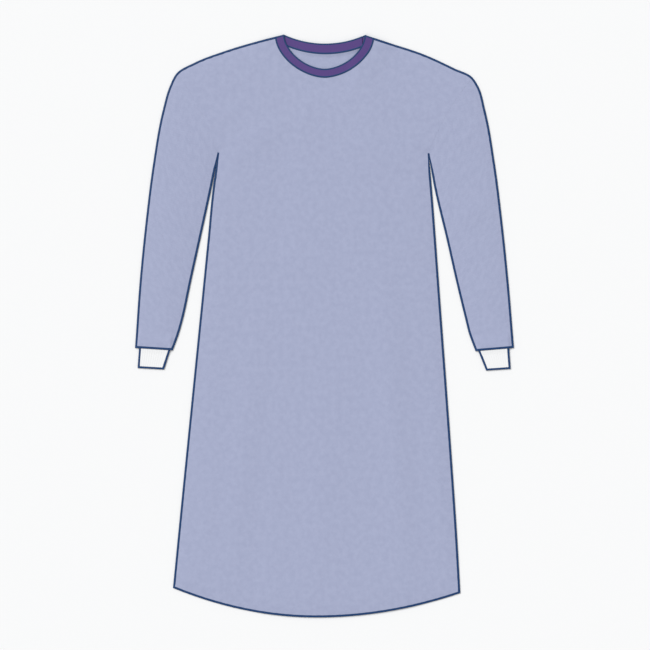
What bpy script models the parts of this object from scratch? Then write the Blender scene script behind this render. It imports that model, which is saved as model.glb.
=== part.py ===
"""A long-sleeved surgical gown, laid out flat on its back with the front panel up.

The frame is in metres: +X to the right of somebody who looks down at the gown, +Y from the hem to the
neck, +Z up. The origin is under the middle of the gown, on the surface that it lies on. The wearer's left
is on +X. "Down" is the distance from the neck points towards the hem, and "across" is measured from the
middle of the neck.
"""

import math

import bmesh
import bpy
import numpy as np

# Driving sizes of the cut
GOWN_LENGTH = 1.2517
NECK_HALF_WIDTH = 0.0865
FRONT_NECK_DEPTH = 0.0733
FRONT_TAPE_HALF_WIDTH = 0.1062
FRONT_TAPE_DEPTH = 0.0925
FRONT_TAPE_SHOULDER = 0.0045
NECK_ROUNDNESS = 1.75
BACK_NECK_DEPTH = 0.0193
BACK_TAPE_WIDTH = 0.0225
ARMHOLE_CURVE = 0.008
CUFF_TUCK = 0.012
RIB_COUNT = 13
RIB_HEIGHT = 0.0004

# The walls, and the gap that is left between two pieces that are sewn or lie together
CLOTH = 0.0010
GAP = 0.0003
SIDE_GAP = 0.0005
LAYER = CLOTH + GAP
BINDING_HEIGHT = 3 * CLOTH + 2 * GAP
BINDING_ABOVE_BINDING = BINDING_HEIGHT + GAP

# How the gown lies: the front holds some air
LOFT = 0.0020
LOFT_RUN = 0.020

# The two back panels pass each other. Each free edge runs from the neck to the hem.
OUTER_EDGE_AT_NECK = -0.020
OUTER_EDGE_AT_HEM = -0.110
INNER_EDGE_AT_NECK = 0.072
INNER_EDGE_AT_HEM = 0.170
STEP_OVER_EDGE = 0.053
STEP_CLEAR = 0.005

# How far from the neck edge a panel keeps the level of its binding, and over what distance it comes down
BACK_HOLD = 0.0229
BACK_FALL = 0.0046
FRONT_HOLD = 0.032
FRONT_FALL = 0.045

# The tables of edges give the place, then across and down on the left of the view, then on the right. The gown
# lies a little askew, so that its two sides differ by some millimetres.
UPPER_EDGE = (
    ("neck point", 0.0865, 0.0000, 0.0865, 0.0010),
    ("inner shoulder", 0.1290, 0.0102, 0.1290, 0.0145),
    ("middle shoulder", 0.2150, 0.0354, 0.2150, 0.0428),
    ("outer shoulder", 0.2795, 0.0602, 0.2795, 0.0724),
    ("shoulder tip", 0.3180, 0.0832, 0.3180, 0.0918),
    ("sleeve head", 0.3324, 0.1107, 0.3304, 0.1107),
    ("upper arm", 0.3475, 0.1623, 0.3454, 0.1623),
    ("above elbow", 0.3688, 0.2806, 0.3665, 0.2806),
    ("below elbow", 0.3838, 0.3988, 0.3815, 0.3988),
    ("forearm", 0.3968, 0.5278, 0.3949, 0.5278),
    ("sleeve end", 0.4070, 0.6727, 0.4070, 0.6727),
)
TIP_ROW = 4

UNDERARM_EDGE = (
    ("underarm", 0.2279, 0.2530, 0.2235, 0.2545),
    ("inner arm", 0.2419, 0.3236, 0.2353, 0.3236),
    ("elbow", 0.2675, 0.4418, 0.2631, 0.4418),
    ("forearm", 0.2865, 0.5278, 0.2826, 0.5278),
    ("lower forearm", 0.3051, 0.6138, 0.3035, 0.6138),
    ("above the cuff", 0.3110, 0.6390, 0.3098, 0.6390),
    ("sleeve end", 0.3245, 0.6796, 0.3230, 0.6800),
)

SIDE_SEAM = (
    ("underarm", 0.2279, 0.2530, 0.2235, 0.2545),
    ("chest", 0.2391, 0.3236, 0.2300, 0.3236),
    ("waist", 0.2510, 0.4418, 0.2391, 0.4418),
    ("hip", 0.2639, 0.5708, 0.2485, 0.5708),
    ("thigh", 0.2812, 0.7428, 0.2613, 0.7428),
    ("knee", 0.2985, 0.9148, 0.2737, 0.9148),
    ("calf", 0.3156, 1.0868, 0.2853, 1.0868),
    ("hem", 0.3255, 1.1885, 0.2918, 1.1995),
)

# The cuff's edge away from the body, then its edge towards the body
CUFF_OUTER_EDGE = (
    ("at the sleeve end", 0.3983, 0.6734, 0.3966, 0.6734),
    ("free end", 0.4014, 0.7157, 0.4000, 0.7177),
)
CUFF_INNER_EDGE = (
    ("at the sleeve end", 0.3322, 0.6790, 0.3308, 0.6796),
    ("free end", 0.3450, 0.7190, 0.3475, 0.7212),
)

# Broad soft creases of the front: name, start across and down, end across and down, half width, height
CREASES = (
    ("left underarm to chest", -0.215, 0.275, -0.070, 0.175, 0.028, 0.0011),
    ("right underarm to chest", 0.205, 0.290, 0.060, 0.215, 0.026, 0.0009),
    ("left skirt", -0.135, 0.560, -0.205, 1.190, 0.034, 0.0013),
    ("middle skirt", 0.005, 0.720, -0.020, 1.235, 0.040, 0.0010),
    ("right skirt", 0.120, 0.480, 0.175, 1.180, 0.032, 0.0013),
    ("across the waist", -0.180, 0.470, 0.020, 0.505, 0.030, 0.0006),
    ("left elbow", -0.375, 0.330, -0.280, 0.420, 0.024, 0.0010),
    ("right elbow", 0.372, 0.350, 0.285, 0.400, 0.022, 0.0011),
)

# Where a line across the arm or down the armhole is sampled, as shares of it from the shoulder tip
ARM_SHARES = np.array([0, 0.100, 0.1235, 0.175, 0.245, 0.370, 0.530, 0.700, 0.860, 1])
END_SHARES = np.array([0, 0.055, 0.100, 0.200, 0.320, 0.450, 0.600, 0.760, 0.910, 1])
BODY_ROWS = 17
SHOULDER_STEPS = 7
FRONT_NECK_STEPS = 18
BACK_NECK_PITCH = 0.0125
SLEEVE_SECTIONS = 16
POINTS_PER_SPAN = 24
CAP_ANGLES = np.radians([60, 0, -60])
POINTS_PER_RIB = 4

NECK_Y = GOWN_LENGTH / 2

COLOURS = {
    "gown cloth": ((0.392, 0.429, 0.597), 0.75),
    "binding tape": ((0.105, 0.062, 0.235), 0.65),
    "knitted cuff": ((0.85, 0.86, 0.87), 0.90),
}


def clear_scene():
    for obj in list(bpy.data.objects):
        bpy.data.objects.remove(obj, do_unlink=True)


def surface(piece, kind):
    """A piece's own material, of one of the kinds of cloth."""
    colour, roughness = COLOURS[kind]
    made = bpy.data.materials.new(f"{piece} {kind}")
    made.use_nodes = True
    shader = made.node_tree.nodes["Principled BSDF"]
    shader.inputs["Base Color"].default_value = (*colour, 1)
    shader.inputs["Roughness"].default_value = roughness
    shader.inputs["Metallic"].default_value = 0
    return made


def smoothstep(share):
    share = np.clip(share, 0, 1)
    return share * share * (3 - 2 * share)


# Lines in the plane of the gown. A line is an array of (across, down), with across signed like +X.


def smooth_line(stations):
    """A cubic through the stations, with the tangent at each taken from its neighbours, by chord length."""
    stations = np.array(stations, float)
    chord = np.linalg.norm(np.diff(stations, axis=0), axis=1)
    at = np.concatenate([[0], np.cumsum(chord)])
    tangent = np.gradient(stations, at, axis=0)
    share = np.linspace(0, 1, POINTS_PER_SPAN, endpoint=False)[:, None]
    pieces = []
    for i, length in enumerate(chord):
        start, end = stations[i], stations[i + 1]
        pieces.append(
            (2 * share**3 - 3 * share**2 + 1) * start
            + (share**3 - 2 * share**2 + share) * length * tangent[i]
            + (3 * share**2 - 2 * share**3) * end
            + (share**3 - share**2) * length * tangent[i + 1]
        )
    return np.vstack(pieces + [stations[-1:]])


def along(line, shares):
    """The points of a line at these shares of its length."""
    run = np.concatenate([[0], np.cumsum(np.linalg.norm(np.diff(line, axis=0), axis=1))])
    at = np.asarray(shares, float) * run[-1]
    return np.column_stack([np.interp(at, run, line[:, axis]) for axis in (0, 1)])


def edge_line(table, side):
    """The smooth line through a table's places. side is -1 on the left of the view and 1 on the right."""
    column = 1 if side < 0 else 3
    return smooth_line([(side * row[column], row[column + 1]) for row in table])


def upper_edge(side):
    return edge_line(UPPER_EDGE, side)


def shoulder_line(side):
    return upper_edge(side)[: TIP_ROW * POINTS_PER_SPAN + 1]


def sleeve_outer_line(side):
    return upper_edge(side)[TIP_ROW * POINTS_PER_SPAN :]


def underarm_line(side):
    return edge_line(UNDERARM_EDGE, side)


def side_seam_line(side):
    return edge_line(SIDE_SEAM, side)


def armhole_points(side):
    """The armhole seam from the shoulder tip to the underarm, bowed towards the body."""
    tip = shoulder_line(side)[-1]
    underarm = side_seam_line(side)[0]
    chord = underarm - tip
    towards_body = np.array([-side * abs(chord[1]), -abs(chord[0])]) / np.linalg.norm(chord)
    share = ARM_SHARES[:, None]
    return tip + share * chord + ARMHOLE_CURVE * 4 * share * (1 - share) * towards_body


def hem_points(start_across, end_across, count):
    """The hem from one place to another: a parabola, lower in the middle, with its ends at the side seams."""
    left, right = side_seam_line(-1)[-1], side_seam_line(1)[-1]
    middle, half = (left[0] + right[0]) / 2, (right[0] - left[0]) / 2
    across = np.linspace(start_across, end_across, count)
    share = (across - middle) / half
    sag = GOWN_LENGTH - np.where(share < 0, left[1], right[1])
    return np.column_stack([across, GOWN_LENGTH - sag * share**2])


def front_neck_points(half_width, depth, starts_down, count):
    """Half of a superellipse, from the left neck point of the view to the right one."""
    turn = np.linspace(math.pi, 0, count)
    power = 2 / NECK_ROUNDNESS
    across = half_width * np.sign(np.cos(turn)) * np.abs(np.cos(turn)) ** power
    return np.column_stack([across, starts_down + depth * np.abs(np.sin(turn)) ** power])


def back_neck_down(across):
    """How far down the back neck edge is: a parabola between the neck points."""
    return BACK_NECK_DEPTH * np.maximum(1 - (across / NECK_HALF_WIDTH) ** 2, 0)


def silhouette():
    """The closed outline of body and sleeves, without the cuffs and the neck."""
    left, right = side_seam_line(-1)[-1, 0], side_seam_line(1)[-1, 0]
    neck = np.array([[-NECK_HALF_WIDTH, 0], [NECK_HALF_WIDTH, 0]])
    right_way = [neck, upper_edge(1)[1:], underarm_line(1)[::-1], side_seam_line(1)[1:]]
    left_way = [side_seam_line(-1)[::-1], underarm_line(-1), upper_edge(-1)[::-1][:-1]]
    return np.vstack(right_way + [hem_points(right, left, POINTS_PER_SPAN)] + left_way)


def distance_to(points, line, closed):
    """How far each point is from a line."""
    starts = line if closed else line[:-1]
    ends = np.roll(line, -1, axis=0) if closed else line[1:]
    span = ends - starts
    length = np.maximum((span**2).sum(axis=1), 1e-12)
    away = points[:, None, :] - starts[None]
    share = np.clip((away * span[None]).sum(axis=2) / length[None], 0, 1)
    return np.linalg.norm(away - share[..., None] * span[None], axis=2).min(axis=1)


# Heights over the surface that the gown lies on. Each takes points as (across, down).


def crease_height(points):
    """The broad soft creases: a bell across each one, which dies away towards its ends."""
    height = np.zeros(len(points))
    for _, start_across, start_down, end_across, end_down, half_width, tall in CREASES:
        start = np.array([start_across, start_down])
        span = np.array([end_across, end_down]) - start
        share = np.clip((points - start) @ span / (span @ span), 0, 1)
        away = np.linalg.norm(points - start - share[:, None] * span, axis=1)
        height += tall * np.exp(-((away / half_width) ** 2)) * np.sin(math.pi * share) ** 0.5
    return height


def over_outer_panel(points):
    """1 where the inner back panel lies on the outer one, and 0 where it lies on the surface."""
    share = points[:, 1] / GOWN_LENGTH
    edge = OUTER_EDGE_AT_NECK + share * (OUTER_EDGE_AT_HEM - OUTER_EDGE_AT_NECK)
    return smoothstep((points[:, 0] - edge + STEP_CLEAR + STEP_OVER_EDGE) / STEP_OVER_EDGE)


def beyond_inner_panel(points):
    """0 over the inner back panel, and 1 where the outer one lies bare under the front."""
    share = points[:, 1] / GOWN_LENGTH
    edge = INNER_EDGE_AT_NECK + share * (INNER_EDGE_AT_HEM - INNER_EDGE_AT_NECK)
    return smoothstep((points[:, 0] - edge - STEP_CLEAR) / STEP_OVER_EDGE)


def front_height(points):
    """The underside of the upper layer of body and sleeves."""
    points = np.asarray(points, float)
    inside = distance_to(points, silhouette(), closed=True)
    rise = 1 - np.exp(-inside / LOFT_RUN)
    layers = 1 + over_outer_panel(points) * (1 - beyond_inner_panel(points))
    lying = LAYER * layers + rise * (LOFT + crease_height(points))
    neck = front_neck_points(NECK_HALF_WIDTH, FRONT_NECK_DEPTH, 0, FRONT_NECK_STEPS + 1)
    from_neck = distance_to(points, neck, closed=False)
    held = 1 - smoothstep((from_neck - FRONT_HOLD) / FRONT_FALL)
    return lying + held * (BINDING_ABOVE_BINDING + LAYER - lying)


def near_back_binding(points):
    """1 where a back panel is inside its binding or beside it, and 0 where it lies on what is below."""
    beside = np.maximum(np.abs(points[:, 0]) - NECK_HALF_WIDTH, 0)
    below = np.maximum(points[:, 1] - back_neck_down(points[:, 0]), 0)
    return 1 - smoothstep((np.hypot(beside, below) - BACK_HOLD) / BACK_FALL)


def outer_back_height(points):
    return LAYER * near_back_binding(np.asarray(points, float))


def inner_back_height(points):
    points = np.asarray(points, float)
    over, held = over_outer_panel(points), near_back_binding(points)
    return LAYER * over + held * (LAYER + over * (BINDING_ABOVE_BINDING - LAYER))


# Meshes


def in_space(points, height):
    """Plan points and heights as points of the frame."""
    points = np.asarray(points, float)
    return np.column_stack([points[:, 0], NECK_Y - points[:, 1], height])


def finished(name, mesh, kind, collection):
    obj = bpy.data.objects.new(name, mesh)
    collection.objects.link(obj)
    mesh.materials.append(surface(name, kind))
    mesh.shade_smooth()
    mesh.set_sharp_from_angle(angle=math.radians(40))
    return obj


def sheet(name, grid, offset, kind, collection):
    """An open grid of points, rows by columns, given its thickness by Solidify. Offset 1 puts it all above the grid."""
    rows, columns = grid.shape[:2]
    shape = bmesh.new()
    bmesh.ops.create_grid(shape, x_segments=columns - 1, y_segments=rows - 1, size=0.5)
    shape.verts.ensure_lookup_table()
    for vert, place in zip(shape.verts, grid.reshape(-1, 3)):
        vert.co = place
    mesh = bpy.data.meshes.new(name)
    shape.to_mesh(mesh)
    shape.free()
    obj = finished(name, mesh, kind, collection)
    thickness = obj.modifiers.new("thickness", "SOLIDIFY")
    thickness.thickness = CLOTH
    thickness.offset = offset
    thickness.use_even_offset = True
    return obj


def patch(bottom, top, left, right, row_shares):
    """Plan points of a four-sided panel, rows by columns: what its four edges give, each blended into the next."""
    up = np.asarray(row_shares)[:, None, None]
    between_ends = (1 - up) * bottom[None] + up * top[None]
    first, last = between_ends[:, :1], between_ends[:, -1:]
    over = ((between_ends - first)[..., :1]) / (last - first)[..., :1]
    between_sides = (1 - over) * left[:, None] + over * right[:, None]
    return between_ends + between_sides - ((1 - over) * first + over * last)


def row_shares():
    """How far up the side each row of a body panel is: even over the side seam, and then at the armhole's samples."""
    seam = np.linalg.norm(np.diff(side_seam_line(1), axis=0), axis=1).sum()
    hole = np.linalg.norm(np.diff(armhole_points(1), axis=0), axis=1)
    run = np.concatenate([np.linspace(0, seam, BODY_ROWS + 1), seam + np.cumsum(hole[::-1])])
    return run / run[-1]


def body_side(side):
    """The side seam from the hem to the underarm, and on up the armhole to the shoulder tip."""
    seam = along(side_seam_line(side)[::-1], np.linspace(0, 1, BODY_ROWS + 1))
    return np.vstack([seam, armhole_points(side)[::-1][1:]])


def shoulder_points(side):
    return along(shoulder_line(side), np.linspace(0, 1, SHOULDER_STEPS + 1))


def front_panel(collection):
    """The front, one piece from side seam to side seam, with the scooped neck edge inside its binding."""
    inset = BINDING_HEIGHT / 2
    neck = front_neck_points(
        NECK_HALF_WIDTH + inset, FRONT_NECK_DEPTH, inset, FRONT_NECK_STEPS + 1
    )
    top = np.vstack([shoulder_points(-1)[::-1][:-1], neck, shoulder_points(1)[1:]])
    left, right = body_side(-1), body_side(1)
    bottom = hem_points(left[0, 0], right[0, 0], len(top))
    plan = patch(bottom, top, left, right, row_shares())
    height = front_height(plan.reshape(-1, 2))
    grid = in_space(plan.reshape(-1, 2), height).reshape(*plan.shape[:2], 3)
    return sheet("front_panel", grid, 1, "gown cloth", collection)


def back_panel(name, side, neck_end, hem_end, height_of, collection):
    """One half of the back, from its side seam to its free edge."""
    inset = BINDING_HEIGHT / 2
    count = round(abs(neck_end + (-side) * NECK_HALF_WIDTH) / BACK_NECK_PITCH) + 1
    across = np.linspace(neck_end, side * NECK_HALF_WIDTH, count)
    neck = np.column_stack([across, back_neck_down(across) + inset])
    top = np.vstack([neck, shoulder_points(side)[1:]])
    seam = body_side(side)
    bottom = hem_points(hem_end, seam[0, 0], len(top))
    free = bottom[0] + np.asarray(row_shares())[:, None] * (top[0] - bottom[0])
    plan = patch(bottom, top, free, seam, row_shares())
    fade = np.concatenate([np.ones(count), np.linspace(1, 0, SHOULDER_STEPS + 1)[1:]])
    for row, away in ((-2, BACK_HOLD), (-3, BACK_HOLD + BACK_FALL)):
        shift = back_neck_down(across) + away - plan[row, :count, 1]
        plan[row, :, 1] += fade * np.concatenate([shift, np.full(SHOULDER_STEPS, shift[-1])])
    if side < 0:
        plan = plan[:, ::-1]
    height = height_of(plan.reshape(-1, 2))
    grid = in_space(plan.reshape(-1, 2), height).reshape(*plan.shape[:2], 3)
    return sheet(name, grid, 1, "gown cloth", collection)


def binding(name, fold_line, free_line, base_of, collection):
    """Tape folded over a neck edge, with its fold and its two lower edges along two lines in plan, point for point.

    Its middle line goes from its lower edge round the fold to its upper edge.
    """
    width = np.linalg.norm(free_line - fold_line, axis=1)[:, None]
    inward = (free_line - fold_line) / width
    base = base_of(fold_line)
    radius = (BINDING_HEIGHT - CLOTH) / 2
    low, high = CLOTH / 2, BINDING_HEIGHT - CLOTH / 2
    rows = [in_space(free_line, base + low), in_space(fold_line + width / 2 * inward, base + low)]
    for turn in np.radians([-90, -135, 180, 135, 90]):
        plan = fold_line + (BINDING_HEIGHT / 2 + radius * math.cos(turn)) * inward
        rows.append(in_space(plan, base + BINDING_HEIGHT / 2 + radius * math.sin(turn)))
    rows += [in_space(fold_line + width / 2 * inward, base + high), in_space(free_line, base + high)]
    return sheet(name, np.array(rows), 0, "binding tape", collection)


def front_binding(collection):
    count = FRONT_NECK_STEPS + 1
    fold = front_neck_points(NECK_HALF_WIDTH, FRONT_NECK_DEPTH, 0, count)
    depth = FRONT_TAPE_DEPTH - FRONT_TAPE_SHOULDER
    free = front_neck_points(FRONT_TAPE_HALF_WIDTH, depth, FRONT_TAPE_SHOULDER, count)
    base = np.full(count, BINDING_ABOVE_BINDING)
    return binding("neck_binding_front", fold, free, lambda plan: base, collection)


def back_binding(name, start, end, base_of, collection):
    count = round(abs(end - start) / BACK_NECK_PITCH) + 1
    across = np.linspace(start, end, count)
    fold = np.column_stack([across, back_neck_down(across)])
    free = fold + (0, BACK_TAPE_WIDTH)
    return binding(name, fold, free, base_of, collection)


def ring(first, last, plan, top_height, low_height, wall):
    """One section of a flattened tube: its outer and its inner loop.

    first and last are its two ends in plan, and plan its samples between them. The upper wall's outside is at
    top_height over them, and the lower wall's at low_height, the same all along. The ends are rounded.
    """
    reach = np.linalg.norm(last - first)
    direction = (last - first) / reach
    loops = []
    for inset in (0, wall):
        radius = (CLOTH + CLOTH + GAP) / 2 - inset
        middle = low_height + inset + radius
        caps = []
        for end, sign in ((last, 1), (first, -1)):
            centre = end - sign * direction * (radius + inset)
            cap = centre + sign * np.outer(np.cos(CAP_ANGLES), direction) * radius
            caps.append(in_space(cap, middle + np.sin(CAP_ANGLES) * radius))
        over = in_space(plan, top_height - inset)
        under = in_space(plan[::-1], np.full(len(plan), low_height + inset))
        loops.append(np.vstack([over, caps[0], under, caps[1][::-1]]))
    return loops


def tube(name, outer, inner, kind, collection):
    """A wall between two stacks of loops, closed at both ends of the tube. Loft between unlike loops."""
    outer, inner = np.array(outer), np.array(inner)
    sections, count = outer.shape[:2]
    near = np.arange(count)
    far = np.roll(near, -1)
    inner_start = sections * count
    faces = []
    for row in range(sections - 1):
        low, high = row * count, (row + 1) * count
        faces += np.column_stack([low + near, low + far, high + far, high + near]).tolist()
        low, high = inner_start + low, inner_start + high
        faces += np.column_stack([low + near, high + near, high + far, low + far]).tolist()
    for row, flip in ((0, False), (sections - 1, True)):
        a, b = row * count, inner_start + row * count
        rim = np.column_stack([a + near, b + near, b + far, a + far])
        faces += (rim[:, ::-1] if flip else rim).tolist()
    mesh = bpy.data.meshes.new(name)
    mesh.from_pydata(np.vstack([outer.reshape(-1, 3), inner.reshape(-1, 3)]).tolist(), [], faces)
    shape = bmesh.new()
    shape.from_mesh(mesh)
    bmesh.ops.recalc_face_normals(shape, faces=shape.faces)
    shape.to_mesh(mesh)
    shape.free()
    return finished(name, mesh, kind, collection)


def cuff_edge(side, share):
    """The two ends of the cuff's line at a share of its length beyond the sleeve, below 0 inside the sleeve."""
    ends = []
    column = 1 if side < 0 else 3
    for top, free in (CUFF_OUTER_EDGE, CUFF_INNER_EDGE):
        top, free = np.array(top[column : column + 2]), np.array(free[column : column + 2])
        across = top[0] + max(share, 0.0) * (free[0] - top[0])
        down = top[1] + share * (free[1] - top[1])
        ends.append(np.array([side * across, down]))
    return ends


def cuff_length():
    outer, _ = cuff_edge(1, 0)
    free, _ = cuff_edge(1, 1)
    return np.linalg.norm(free - outer)


def cuff_height():
    """How thick the flattened cuff is, ribs and all."""
    return 2 * CLOTH + 2 * GAP + RIB_HEIGHT


def cuff_room(side, points):
    """1 where the end of the sleeve opens round the cuff, and 0 where it lies flat."""
    outer, inner = cuff_edge(side, 0)
    direction = (inner - outer) / np.linalg.norm(inner - outer)
    down_arm = np.array([-side * direction[1], side * direction[0]])
    down_arm *= np.sign(down_arm[1])
    along_arm = (points - outer) @ down_arm
    beside = np.abs((points - (outer + inner) / 2) @ direction) - np.linalg.norm(inner - outer) / 2
    return smoothstep(1 + (along_arm + CUFF_TUCK + 0.003) / 0.040) * (
        1 - smoothstep((beside - 0.002) / 0.005)
    )


def sleeve(name, side, collection):
    """The sleeve, one flattened tube from the armhole seam to its end over the cuff."""
    shares = np.linspace(0, 1, SLEEVE_SECTIONS + 1)
    outer_edge = along(sleeve_outer_line(side), shares)
    underarm_edge = along(underarm_line(side), shares)
    hole = armhole_points(side)
    chord = hole[0] + ARM_SHARES[:, None] * (hole[-1] - hole[0])
    bow = hole - chord
    away = np.array([side * abs(chord[-1, 1] - chord[0, 1]), abs(chord[-1, 0] - chord[0, 0])])
    away *= SIDE_GAP / np.linalg.norm(away)
    outer_loops, inner_loops = [], []
    for share, first, last in zip(shares, outer_edge, underarm_edge):
        fade = max(0.0, 1 - share * SLEEVE_SECTIONS / 4)
        first, last = first + fade * away, last + fade * away
        across = ARM_SHARES + share * (END_SHARES - ARM_SHARES)
        line = first + across[:, None] * (last - first) + fade * bow
        middle = line[1:-1]
        room = cuff_room(side, middle) * (cuff_height() + 2 * GAP)
        height = np.maximum(front_height(middle), CLOTH + GAP + room) + CLOTH
        outer, inner = ring(first, last, middle, height, 0, CLOTH - GAP / 2)
        outer_loops.append(outer)
        inner_loops.append(inner)
    return tube(name, outer_loops, inner_loops, "gown cloth", collection)


def cuff(name, side, collection):
    """The knitted cuff: a flattened tube, ribbed on top, whose upper end is held inside the end of the sleeve."""
    tuck = CUFF_TUCK / cuff_length()
    drop_ends = 0.012 / cuff_length()
    rib_shares = np.linspace(0, 1, RIB_COUNT * POINTS_PER_RIB + 1)[1:-1]
    rib = RIB_HEIGHT * (0.5 - 0.5 * np.cos(2 * math.pi * rib_shares * RIB_COUNT))
    outer_loops, inner_loops = [], []
    for share in (-tuck, 0.012, drop_ends / 2, drop_ends, 1.0):
        first, last = cuff_edge(side, share)
        base = LAYER * (1 - smoothstep((share - 0.012) / (drop_ends - 0.012)))
        middle = first + rib_shares[:, None] * (last - first)
        top = np.full(len(middle), base + 2 * CLOTH + 2 * GAP)
        outer, inner = ring(first, last, middle, top, base, CLOTH - GAP / 2)
        outer[: len(rib), 2] += rib
        outer_loops.append(outer)
        inner_loops.append(inner)
    return tube(name, outer_loops, inner_loops, "knitted cuff", collection)


def build():
    clear_scene()
    collection = bpy.data.collections.new("surgical gown")
    bpy.context.scene.collection.children.link(collection)
    front_panel(collection)
    back_panel(
        "back_panel_outer", 1, OUTER_EDGE_AT_NECK, OUTER_EDGE_AT_HEM, outer_back_height, collection
    )
    back_panel(
        "back_panel_inner", -1, INNER_EDGE_AT_NECK, INNER_EDGE_AT_HEM, inner_back_height, collection
    )
    for side, word in ((-1, "right"), (1, "left")):
        sleeve(f"sleeve_{word}", side, collection)
        cuff(f"cuff_{word}", side, collection)
    front_binding(collection)
    back_binding(
        "neck_binding_back_outer",
        OUTER_EDGE_AT_NECK,
        NECK_HALF_WIDTH,
        lambda plan: np.zeros(len(plan)),
        collection,
    )
    back_binding(
        "neck_binding_back_inner",
        -NECK_HALF_WIDTH,
        INNER_EDGE_AT_NECK,
        lambda plan: BINDING_ABOVE_BINDING * over_outer_panel(plan),
        collection,
    )


build()
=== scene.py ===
"""A long-sleeved surgical gown of blue nonwoven cloth, laid out flat on its back with the front up.

Metres, +X to the right of the picture, +Y from the hem to the neck, +Z up from the table. Places on the
cut are given as (across, down): across from the middle of the neck, down from the neck points to the hem.
"""

import math

import bpy
import numpy as np
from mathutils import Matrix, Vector


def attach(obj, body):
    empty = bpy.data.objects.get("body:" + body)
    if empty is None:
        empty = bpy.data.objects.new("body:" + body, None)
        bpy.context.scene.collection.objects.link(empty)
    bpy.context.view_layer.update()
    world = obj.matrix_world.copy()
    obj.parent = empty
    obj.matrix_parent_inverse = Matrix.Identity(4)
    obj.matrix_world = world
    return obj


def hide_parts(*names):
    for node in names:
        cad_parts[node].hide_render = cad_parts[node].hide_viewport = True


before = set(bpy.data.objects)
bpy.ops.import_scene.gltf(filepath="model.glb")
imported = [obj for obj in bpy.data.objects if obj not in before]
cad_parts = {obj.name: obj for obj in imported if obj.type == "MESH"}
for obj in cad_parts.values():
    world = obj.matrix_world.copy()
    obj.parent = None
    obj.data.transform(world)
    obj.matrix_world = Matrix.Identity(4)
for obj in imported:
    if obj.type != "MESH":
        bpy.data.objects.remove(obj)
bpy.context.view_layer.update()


# The table, the light and the camera. The gown lies on a plain pale table in an even white room, with one
# broad lamp from the upper left, and is looked at from straight above.
TABLE_SIDE = 64.0
TABLE_BELOW_GOWN = 0.0004
TABLE_COLOUR = (0.90, 0.905, 0.91, 1)
TABLE_ROUGHNESS = 0.85
TABLE_SPECULAR = 0.2
ROOM_COLOUR = (1, 1, 1, 1)
ROOM_LIGHT = 0.60
LAMP_POWER = 2.1
LAMP_SOFTNESS = math.radians(30)
LAMP_DIRECTION = (0.58, -0.62, -0.80)
LENS_MM = 85.0
SENSOR_MM = 36.0
SIGHT_RANGE = 100.0
PICTURE_SIDE = 1.3975
PICTURE_CENTRE = (0.0011, 0.0023)


def plain_table():
    """A square in the plane just under the gown."""
    half = TABLE_SIDE / 2
    mesh = bpy.data.meshes.new("table")
    corners = [(-half, -half), (half, -half), (half, half), (-half, half)]
    mesh.from_pydata([(x, y, -TABLE_BELOW_GOWN) for x, y in corners], [], [(0, 1, 2, 3)])
    table = bpy.data.objects.new("table", mesh)
    bpy.context.collection.objects.link(table)
    paint = bpy.data.materials.new("pale table")
    paint.use_nodes = True
    shader = paint.node_tree.nodes["Principled BSDF"]
    shader.inputs["Base Color"].default_value = TABLE_COLOUR
    shader.inputs["Roughness"].default_value = TABLE_ROUGHNESS
    shader.inputs["Specular IOR Level"].default_value = TABLE_SPECULAR
    mesh.materials.append(paint)


def light_the_room():
    """White light from all round, and a sun that shines down and to the lower right."""
    world = bpy.data.worlds.new("white room")
    bpy.context.scene.world = world
    world.use_nodes = True
    background = world.node_tree.nodes["Background"]
    background.inputs["Color"].default_value = ROOM_COLOUR
    background.inputs["Strength"].default_value = ROOM_LIGHT
    lamp = bpy.data.lights.new("broad lamp", "SUN")
    lamp.energy = LAMP_POWER
    lamp.angle = LAMP_SOFTNESS
    stand = bpy.data.objects.new("broad lamp", lamp)
    bpy.context.collection.objects.link(stand)
    stand.rotation_mode = "QUATERNION"
    stand.rotation_quaternion = Vector(LAMP_DIRECTION).to_track_quat("-Z", "Y")


def hang_camera():
    """A camera looking straight down, so high that PICTURE_SIDE fills its picture at the table."""
    camera = bpy.data.cameras.new("camera")
    camera.lens = LENS_MM
    camera.sensor_width = SENSOR_MM
    camera.clip_end = SIGHT_RANGE
    stand = bpy.data.objects.new("camera", camera)
    bpy.context.collection.objects.link(stand)
    stand.location = (*PICTURE_CENTRE, PICTURE_SIDE * LENS_MM / SENSOR_MM)
    bpy.context.scene.camera = stand
    bpy.context.scene.view_settings.view_transform = "Standard"


plain_table()
light_the_room()
hang_camera()


# The outer back panel: the wearer's left half of the back, cut from nonwoven cloth, with thread wound over
# its hem. It lies flat on the table, and runs from its side seam past the middle of the back. The body's
# outline, the cloth's web and the thread's turns are set here.
GOWN_LENGTH = 1.2517
NECK_Y = GOWN_LENGTH / 2
NECK_HALF_WIDTH = 0.0865
BACK_NECK_DEPTH = 0.0193
RIGHT_NECK_DROP = 0.0010
ARMHOLE_CURVE = 0.008
OUTER_EDGE_AT_NECK = -0.020
OUTER_EDGE_AT_HEM = -0.110

# How thick the cloth, the neck tape, the thread under an edge, and the air between two layers are
WALL = 0.0006
TAPE = 0.0005
WRAP = 0.0002
CLEARANCE = 0.0001

# How far the tape lifts the cloth inside it, how far from the neck that holds, and over what it falls
BAND_INSIDE = TAPE + CLEARANCE
BACK_HOLD = 0.0229
BACK_FALL = 0.0062

# How far apart the panel's points are along each of its edges, and how near its rim the last but one is
OUTER_PITCHES = {"seam": 0.012, "armhole": 0.005, "neck": 0.005, "shoulder": 0.0125}
EDGE_SHARE = 0.07

# How many points a smooth line has between two places, an armhole has to be measured, and a hem has
POINTS_PER_SPAN = 24
ARMHOLE_POINTS = 30
HEM_POINTS = 80

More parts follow.
